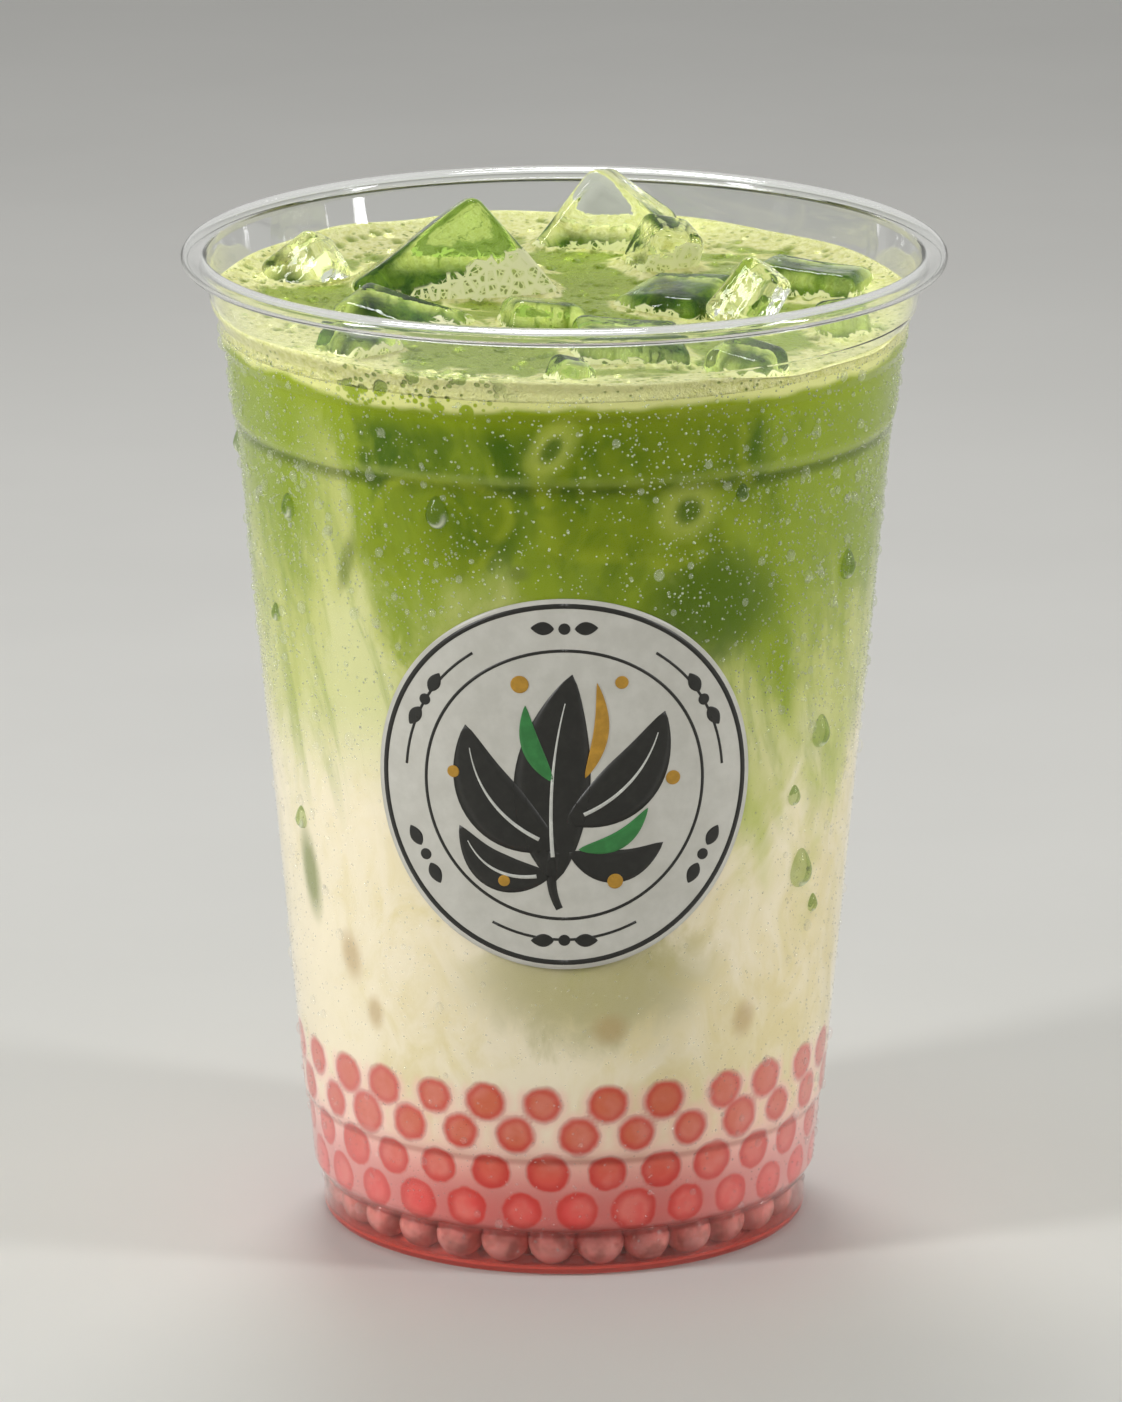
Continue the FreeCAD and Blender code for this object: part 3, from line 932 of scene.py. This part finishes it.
def ice_shape(number):
    """A cube's points and faces, and the stretch and shift that bring it to its CAD box.

    Each direction's point is found by stepping out by the distance that is left.
    """
    cube, seed = ice_cubes[number], number + 1.0
    lowest, highest = (np.array(corner) * 1000 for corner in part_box("ice_%d" % (number + 1)))
    ways, faces = cube_ball()
    reach = np.full(len(ways), 0.5)
    for _ in range(tracing_steps):
        reach = reach - ice_distance(ways * reach[:, None], cube, seed) * 0.8
    points = (ways * reach[:, None]) @ turn_of(*cube[3:]).T
    stretch = (highest - lowest) / (points.max(0) - points.min(0))
    shift = lowest - points.min(0) * stretch
    return points * stretch + shift, faces, stretch, shift


def melting_ice(name, tint):
    """Clear ice with wavy wet faces; the tint is what the drink gives it."""
    material, start, place = new_finish(name)
    wavy = place.noise(260, 2, 0.5)
    fine = place.noise(900, 2, 0.5)
    bump = start.node("Bump", Strength=0.35, Distance=0.0009, Height=wavy + fine * 0.12)
    glass = start.surface(tint, fine * 0.03, IOR=1.31, Transmission_Weight=1.0, Normal=bump)
    lay(lets_lamps_through(glass, (0.93, 0.97, 0.84, 1.0)))
    return material


clear_ice = melting_ice("clear_ice", "f8fcf0")
green_ice = melting_ice("green_ice", "d4ecab")
ice_shapes = [ice_shape(number) for number in range(len(ice_cubes))]
for number, (points, faces, _, _) in enumerate(ice_shapes, 1):
    make_piece("ice_cube_%d" % number, points, faces,
               clear_ice if number in (2, 3, 4, 6) else green_ice, "ice", "ice_%d" % number)


# --- Foam ---------------------------------------------------------------------------------
# Fine pale-green froth with larger bubbles, thicker round the wall, and thin green pools in
# the middle. It clings to each cube, and under a cube the drink is dark and wet.

foam_level = 121.9
mouth_radius = 45.8
wall_sag, side_sag = 1.8, 1.6      # how far the top sinks off the wall, and at one place
cube_reach = 18.0      # no cube reaches further than this from its middle


def foam_height(x, y):
    """Level, lean, one sag, low ripples, and a rise where the foam clings to the wall."""
    gap = np.maximum(mouth_radius - np.hypot(x, y), 0)
    ripple = np.sin(x / 6.5 + 0.8) * np.cos(y / 5.5) + 0.5 * np.sin((x + y) / 4.2)
    bearing = np.radians(-35.0)
    sag = np.hypot(x - mouth_radius * np.cos(bearing), y - mouth_radius * np.sin(bearing))
    return (foam_level - 0.012 * x + 0.020 * y + 0.3 * ripple
            - wall_sag * (1 - np.exp(-gap / 4.0)) - side_sag * np.exp(-(sag / 18.0) ** 2)
            + 0.5 * np.exp(-gap / 2.0))


def ice_reach(x, y, height):
    """Distance outside the nearest cube at each place."""
    nearest = np.full(np.broadcast(x, height).shape, 99.0)
    where = together(x, y, height)
    for number, cube in enumerate(ice_cubes):
        points, _, stretch, shift = ice_shapes[number]
        local = (where - shift) / stretch @ turn_of(*cube[3:])
        off = np.abs(where - (points.max(0) + points.min(0)) / 2).max(-1)
        close = off < cube_reach
        if close.any():
            nearest[close] = np.minimum(nearest[close],
                                        ice_distance(local[close], cube, number + 1.0))
    return nearest


def bubble_places(count, least, most, spread, seed):
    """Scattered bubbles on the foam: places, and radii that are mostly small.

    A radius is least (most / least)^(u^spread), with u random between 0 and 1.
    """
    chance = np.random.default_rng(seed)
    radius = np.sqrt(chance.uniform(0, 1, count)) * (mouth_radius - 2.2)
    angle = chance.uniform(0, 2 * np.pi, count)
    x, y = radius * np.sin(angle), -radius * np.cos(angle)
    size = least * (most / least) ** (chance.uniform(0, 1, count) ** spread)
    return x, y, size


froth_x, froth_y, froth_size = bubble_places(1300, 0.22, 1.0, spread=2.2, seed=5)
foam_rings, foam_turns = 118, 560
ring_share = np.linspace(0, 1, foam_rings)[:, None] ** 0.92
foam_bearing = all_round(foam_turns)
foam_radius = ring_share * (inside_at(121.0) - 0.05)
foam_x, foam_y = foam_radius * np.sin(foam_bearing), -foam_radius * np.cos(foam_bearing)
foam_z = foam_height(foam_x, foam_y)
at_surface = ice_reach(foam_x, foam_y, foam_z)

dent = np.zeros_like(foam_z)
hole = np.zeros_like(foam_z)
for x, y, size in zip(froth_x, froth_y, froth_size):
    near = (np.abs(foam_x - x) < 2 * size) & (np.abs(foam_y - y) < 2 * size)
    reach = np.hypot(foam_x[near] - x, foam_y[near] - y) / size
    dent[near] = np.minimum(dent[near], -0.55 * size * np.clip(1 - reach ** 2, 0, 1))
    dent[near] += 0.10 * size * np.exp(-((reach - 1.1) / 0.2) ** 2)
    hole[near] = np.maximum(hole[near], np.clip(1.15 - reach, 0, 0.5) * 2)

# under each cube the drink's surface dips, so that the cube's sides show green and deep
dip_slope, deepest_dip, cling_rise = 2.2, 3.5, 0.55
sunk = np.clip(-at_surface - 0.15, 0, None)
cling = np.exp(-np.clip(at_surface, 0, None) / 0.9) * np.exp(-sunk / 0.3)
foam_top = foam_z + np.where(sunk > 0, -dip_slope * np.minimum(sunk, deepest_dip), dent)
foam_top = foam_top + cling_rise * cling


def froth():
    """Pale froth with thin green pools and small holes, and dark drink under each cube."""
    material, start, place = new_finish("froth")
    depth, hole, edge = (start.named("foam_" + name) for name in ("depth", "hole", "edge"))
    swirl = place.noise(75, 3, 0.6, 1.2)
    fine = place.noise(1100, 3, 0.7)
    holes = place.cells(950).ramp(0.30, 0.12) * place.noise(170, 2).ramp(0.42, 0.62)
    pool = (swirl - edge * 0.36 + 0.10).ramp(0.40, 0.52)
    tone = fine.ramp(0.3, 0.7).mix("d6d684", "eeecb4")
    tone = pool.mix(tone, "98ab38")
    front = (-place.mm("Y")).ramp(39.0, 44.0)
    tone = (front * 0.7).mix(tone, "f3f2b4")
    large = foam_lace(place)
    tone = (holes.most(hole).most(large) * 0.8).mix(tone, "7b9220")
    wet = place.noise(300, 3, 0.6, 0.8).ramp(0.35, 0.68)
    deep = (wet * 0.7).mix("3b6204", "8fa82e")
    tone = depth.ramp(0.0, 0.9).mix(tone, deep)
    bump = start.node("Bump", Strength=0.7, Distance=0.0007,
                      Height=fine - holes * 0.8 - large * 0.8)
    lay(start.surface(tone, 0.62 - pool * 0.34, Normal=bump, IOR=1.35, Subsurface_Weight=0.1,
                      Subsurface_Scale=0.001, Subsurface_Radius=(1.0, 0.9, 0.5)))
    return material


foam_grid = together(foam_x, foam_y, foam_top)
band_share = np.linspace(1, 0, 9)[1:, None]
band_top = foam_top[-1]
band_height = foam_bottom + (band_top - foam_bottom) * band_share
foam_grid[-1, :, :2] = about_axis(inside_at(band_top), foam_bearing, 0.0)[:, :2]
# the band at the wall, then a bowl under the foam that goes down past the cubes
under_path = np.array([(43.3, foam_bottom - 0.05), (40.8, 101.2), (0.0, 101.2)])
foam_grid = np.concatenate([foam_grid,
                            about_axis(inside_at(band_height), foam_bearing, band_height),
                            about_axis(under_path[:, :1], foam_bearing, under_path[:, 1:])])
foam_points, foam_faces = closed_round(foam_grid, True, True)


def with_rest(rows, rest=0.0):
    """One number per point: the given rows on top, and the rest on the band and below."""
    return np.concatenate([rows, np.full((len(foam_grid) - foam_rings, foam_turns), rest)])


foam_edge = np.clip((foam_radius - 33) / 9, 0, 1) + np.exp(-np.clip(at_surface, 0, None) / 1.6)
make_piece("foam_top", foam_points, foam_faces, froth(), "foam", "foam",
           shares={"foam_depth": with_rest(sunk), "foam_hole": with_rest(hole),
                   "foam_edge": with_rest(foam_edge, 1.0)})


# --- Froth on the ice ---------------------------------------------------------------------
# Foam dragged up the cubes dries to a film: solid near the foam, lacy above it, and highest
# on the front right of the largest cube.

film_lift = 0.12
# direction in plan that the film climbs highest on each cube, and how high above the foam
froth_climbs = ((0.80, -0.60, 7.5), (-0.3, 0.9, 1.0), (0.5, -0.8, 1.2), (0.6, -0.7, 3.6),
                (-0.8, -0.6, 0.5), (-0.6, 0.7, 1.8), (0.4, -0.9, 0.4), (-0.5, -0.8, 0.4),
                (0.7, -0.6, 1.0), (-0.7, -0.7, 0.8), (-0.6, -0.7, 0.7), (0.2, -0.9, 0.5),
                (-0.5, -0.8, 0.6), (0.7, -0.7, 1.2))


def froth_shell(number):
    """A cube's skin moved out by film_lift, and how far each point is covered by the film.

    The film reaches up to a height that grows with how squarely the point faces the climb.
    """
    x, y, climb = froth_climbs[number]
    points, faces, _, _ = ice_shapes[number]
    away = unit(points - (points.max(0) + points.min(0)) / 2)
    facing = away[:, 0] * x + away[:, 1] * y
    above = points[:, 2] - foam_height(points[:, 0], points[:, 1])
    limit = 0.5 + climb * np.clip(facing, 0, 1) ** 1.5
    limit += 0.5 * np.sin(points[:, 0] * 1.3) * np.sin(points[:, 1] * 1.1)
    film = np.clip((limit - above) / (0.9 + 0.3 * climb) + 0.5, 0, 1)
    return points + away * film_lift, faces, film


def lacy_froth():
    """Pale film whose strands run between scattered holes; solid where film is near 1."""
    material, start, place = new_finish("lacy_froth")
    film = start.named("film")
    web = place.cells(620, "DISTANCE_TO_EDGE")
    small = place.cells(1500, "DISTANCE_TO_EDGE")
    strand = web.ramp(0.20, 0.07).most(small.ramp(0.16, 0.05) * 0.7)
    cover = (film * 1.2 - 0.75 + strand * 0.9).ramp(0.30, 0.62) * film.ramp(0.02, 0.25)
    froth_skin = start.surface(strand.mix("d6dc88", "f3f3c4"), strand * 0.2 + 0.35, IOR=1.35)
    lay(cover.blend(start.node("BsdfTransparent"), froth_skin))
    return material


shells = [froth_shell(number) for number in range(len(ice_cubes))]
make_piece("ice_froth", *joined([(points, faces) for points, faces, _ in shells]),
           lacy_froth(), "foam", shares={"film": np.concatenate([s[2] for s in shells])})


# --- Bubbles ------------------------------------------------------------------------------
# Thin clear bubbles that sit in the foam, the largest in a patch near the front left.


def bubble_film():
    """Thin wet film round air, which bends light less than water does."""
    material, start, place = new_finish("bubble_film")
    glass = start.surface((0.97, 0.99, 0.95, 1.0), place.noise(400, 1) * 0.02, IOR=1.2,
                          Transmission_Weight=1.0)
    lay(lets_lamps_through(glass, (0.97, 0.985, 0.95, 1.0)))
    return material


many_x, many_y, many_size = bubble_places(150, 0.35, 1.0, spread=2.4, seed=11)
chance = np.random.default_rng(7)
patch_count = 60
bubble_x = np.concatenate([many_x, -17 + chance.normal(0, 5.0, patch_count)])
bubble_y = np.concatenate([many_y, -38.5 + chance.normal(0, 1.8, patch_count)])
bubble_size = np.concatenate([many_size, chance.uniform(0.5, 1.5, patch_count)])
keep = np.hypot(bubble_x, bubble_y) + bubble_size < 44.0
keep &= ice_reach(bubble_x, bubble_y, foam_height(bubble_x, bubble_y)) > bubble_size * 0.6
bubble_x, bubble_y, bubble_size = bubble_x[keep], bubble_y[keep], bubble_size[keep]
bubbles = together(bubble_x, bubble_y,
                   foam_height(bubble_x, bubble_y) - 0.25 * bubble_size)
bubble_sizes = bubble_size[:, None] * np.array([[1.0, 1.0, 0.8]])
make_piece("foam_bubbles", *repeated(ball(9, 14), bubbles, bubble_sizes), bubble_film(),
           "foam")


# --- Condensation -------------------------------------------------------------------------
# Water from the air beads on the cold wall: a fine mist all over, larger beads where it has
# gathered, mostly at the sides, and a few drops that have started to run.

wall_lean = -0.09      # how far the wall's outward direction tips down


def dome(sides, rings):
    """Half a flattened ball standing on +Z with a flat base a little below its widest."""
    tilt = np.linspace(-0.35, np.pi / 2, rings + 1)
    profile = together(np.cos(tilt), np.sin(tilt))
    profile[-1, 0] = 0
    points, faces = turned(profile, sides)
    return points, faces + [np.arange(sides)[None, ::-1]]


def wall_frames(angle):
    """Directions across, up and outwards on the wall at each bearing, as three columns."""
    out = unit(about_axis(1.0, angle, wall_lean))
    across = together(np.cos(angle), np.sin(angle), 0)
    return together(across, np.cross(out, across), out)


def on_cup(count, seed, low, high, least, most, spread, front, tall=1.0):
    """Scattered droplets on the wall between two heights: places, sizes and directions.

    They gather in patches and not on the label, and at the front only the given share of
    what lies at the sides. tall is how much the tallest are drawn out upwards.
    """
    chance = np.random.default_rng(seed)
    many = count * 4
    height = low + (high - low) * chance.uniform(0, 1, many)
    angle = chance.uniform(-np.pi, np.pi, many)
    patchy = (np.sin(angle * 5 + height / 9) + np.sin(angle * 9 - height / 6 + 1.3)
              + np.sin(height / 4.3 + angle * 3)) / 6 + 0.5
    sideways = np.abs(np.sin(angle))
    likely = (front + (1 - front) * sideways ** 1.5) * (0.35 + 0.9 * patchy)
    likely = likely * (0.3 + 0.7 * np.clip((height - 55) / 40, 0, 1))
    on_label = np.hypot(angle * wall_at(height), height - label_middle) < label_radius + 0.6
    likely = np.where(on_label & (np.abs(angle) < 1.2), 0, likely)
    chosen = np.flatnonzero(chance.uniform(0, 1, many) < likely)[:count]
    height, angle = height[chosen], angle[chosen]
    size = least * (most / least) ** (chance.uniform(0, 1, len(chosen)) ** spread)
    places = about_axis(wall_at(height), angle, height)
    shape = together(size, size * (1 + (tall - 1) * chance.uniform(0, 1, len(size))),
                     size * 0.75)
    return places, shape, wall_frames(angle)


def wet_skin(inside):
    """What lies inside a drop, under a polished skin that reflects as water does.

    The reflection has a limit, so that a drop's far side doesn't turn to a mirror.
    """
    shine = inside.surface((1.0, 1.0, 1.0, 1.0), 0.07, Metallic=1.0)
    gloss = inside.node("Fresnel", IOR=1.33).least(0.2)
    return lets_lamps_through(gloss.blend(inside, shine), (1.0, 1.0, 1.0, 1.0))


def small_water(name, on_milk, on_tea):
    """Droplets too small to see into: clear, and paler in front of the green than the milk.

    on_milk and on_tea are how far the pale colour covers them there. The pale colour is a
    painted sparkle, in place of the light that each droplet catches and focuses.
    """
    material, start, place = new_finish(name)
    tea = place.mm("Z").ramp(62.0, 84.0)
    # Painted sparkle: pale diffuse colour over the droplets, in place of the light that they
    # catch.
    pale = start.surface(tea.mix("fffdf4", "f0f6d6"), 0.4, Specular_IOR_Level=0.0)
    cover = tea * (on_tea - on_milk) + on_milk
    lay(wet_skin(cover.blend(start.node("BsdfTransparent"), pale)))
    return material


mist = on_cup(23000, 31, low=3.0, high=119.0, least=0.08, most=0.23, spread=1.7, front=0.5)
make_piece("mist_droplets", *repeated(dome(5, 1), *mist), small_water("fine_mist", 0.1, 0.5),
           "cup")
beads = on_cup(1900, 37, low=4.0, high=118.0, least=0.22, most=0.85, spread=2.8, front=0.12,
               tall=1.3)
make_piece("wall_beads", *repeated(dome(10, 3), *beads), small_water("bead_water", 0.04, 0.16),
           "cup")


def drop_shape(rings=12, turns=22):
    """Hanging drop: a dome drawn out upwards, so that its widest part is low."""
    tilt = np.linspace(-0.3, np.pi / 2, rings)[:, None]
    angle = all_round(turns)
    out = np.cos(tilt)
    x, y = out * np.sin(angle), out * np.cos(angle)
    stretch = np.where(y > 0, 1 + 0.3 * y, 1.0)
    z = np.sin(tilt) * (1 - 0.35 * np.clip(y, 0, 1))
    grid = together(x * (1 - 0.14 * np.clip(y, 0, 1)), y * stretch, z)
    points, faces = closed_round(grid, False, True)
    return points, faces + [np.arange(turns)[None, ::-1]]


# bearing, height and half-width of the drops that have gathered
run_drops = ((-57.0, 99.5, 1.2), (-22.3, 102.6, 1.55), (61.5, 91.0, 1.45), (54.0, 51.5, 1.9),
             (57.0, 69.5, 1.6), (50.0, 62.0, 1.0), (-63.0, 57.0, 1.1), (32.0, 104.5, 0.9),
             (60.0, 46.0, 0.9), (-66.0, 84.0, 0.9), (101.0, 77.0, 1.4), (133.0, 93.0, 1.5),
             (158.0, 52.0, 1.6), (-159.0, 71.0, 1.5), (-128.0, 96.0, 1.3), (-104.0, 58.0, 1.7),
             (-92.0, 102.0, 1.2), (179.0, 99.0, 1.3), (118.0, 36.0, 1.3), (-140.0, 41.0, 1.4))
drop_bearing, drop_height, drop_size = np.array(run_drops).T
drop_angle = np.radians(drop_bearing)
drop_places = about_axis(wall_at(drop_height), drop_angle, drop_height)
drop_sizes = drop_size[:, None] * np.array([[1.0, 1.2, 0.8]])


def drop_water():
    """A drop big enough to see into: painted shade darker in the middle, and a bright painted
    caustic low down.
    """
    material, start, place = new_finish("drop_water")
    crescent = start.named("crescent")
    bright = start.surface("fbfde8", 0.4, Specular_IOR_Level=0.0)
    # Painted shade: the clear body darkens and greens what lies behind, as the drop's bending of
    # light would.
    body = start.node("BsdfTransparent", Color=(0.70, 0.78, 0.56, 1.0))
    lay(wet_skin((crescent * 0.95).blend(body, bright)))
    return material


drop_points, drop_faces = drop_shape()
drop_x, drop_y = drop_points[:, 0], drop_points[:, 1]
# A ring low on each drop: a painted caustic, where the drop would focus light.
crescent = np.exp(-((np.hypot(drop_x, drop_y) - 0.72) / 0.18) ** 2)
crescent *= np.clip(0.5 * drop_x - drop_y, 0, 1)
make_piece("running_drops", *repeated((drop_points, drop_faces), drop_places, drop_sizes,
                                      wall_frames(drop_angle)),
           drop_water(), "cup", shares={"crescent": np.tile(crescent, len(drop_places))})


# --- Setting ------------------------------------------------------------------------------
# A plain pale floor, soft lamps to the left, right and above, and the camera.

floor_reach, floor_height = 3.0, -0.0002     # in metres
floor_mesh = bpy.data.meshes.new("floor")
floor_mesh.from_pydata([(x * floor_reach, y * floor_reach, floor_height)
                        for x, y in ((-1, -1), (1, -1), (1, 1), (-1, 1))], [], [(0, 1, 2, 3)])
floor = bpy.data.objects.new("floor", floor_mesh)
bpy.context.collection.objects.link(floor)
floor_finish, start, place = new_finish("pale_floor")
mottle = place.noise(14, 3).ramp(0.3, 0.7)
lay(start.surface(mottle.mix("e4e3de", "e7e6e1"), 0.5, Specular_IOR_Level=0.3))
floor_mesh.materials.append(floor_finish)

world = bpy.data.worlds.new("studio")
bpy.context.scene.world = world
world.use_nodes = True
world.node_tree.nodes.clear()
sky = Wire(world.node_tree)
seen = sky.node("LightPath", output="Is Camera Ray")
seen = seen.most(sky.node("LightPath", output="Is Glossy Ray"))
seen = seen.most(sky.node("LightPath", output="Is Transmission Ray"))
glow = sky.node("Background", Color=seen.mix((0.25, 0.25, 0.25, 1.0), "d8d8d5"),
                Strength=1.0)
world_output = world.node_tree.nodes.new("ShaderNodeOutputWorld")
world.node_tree.links.new(glow.socket, world_output.inputs["Surface"])


def soft_lamp(name, place, aim, width, height, watts):
    """Oval soft lamp at a place, turned towards another."""
    lamp = bpy.data.lights.new(name, "AREA")
    lamp.shape = "ELLIPSE"
    lamp.size, lamp.size_y, lamp.energy = width, height, watts
    holder = bpy.data.objects.new(name, lamp)
    holder.location = place
    way = Vector(aim) - Vector(place)
    holder.rotation_euler = way.to_track_quat("-Z", "Y").to_euler()
    bpy.context.collection.objects.link(holder)


soft_lamp("left_lamp", (-0.60, -0.30, 0.38), (0, 0, 0.07), 0.10, 0.38, 2.2)
soft_lamp("right_lamp", (0.62, -0.20, 0.35), (0, 0, 0.07), 0.09, 0.36, 1.5)
soft_lamp("top_lamp", (-0.05, 0.35, 0.65), (0, 0, 0.10), 0.24, 0.16, 1.5)

lens = bpy.data.cameras.new("camera")
lens.sensor_width = 36.0
lens.lens = 246.93
lens.clip_end = 20.0
camera = bpy.data.objects.new("camera", lens)
camera.location = (-0.00042, -1.2, 0.3986)
camera.rotation_euler = (np.radians(90 - 15.41), 0.0, 0.0)
bpy.context.collection.objects.link(camera)
bpy.context.scene.camera = camera
bpy.context.scene.view_settings.view_transform = "Standard"
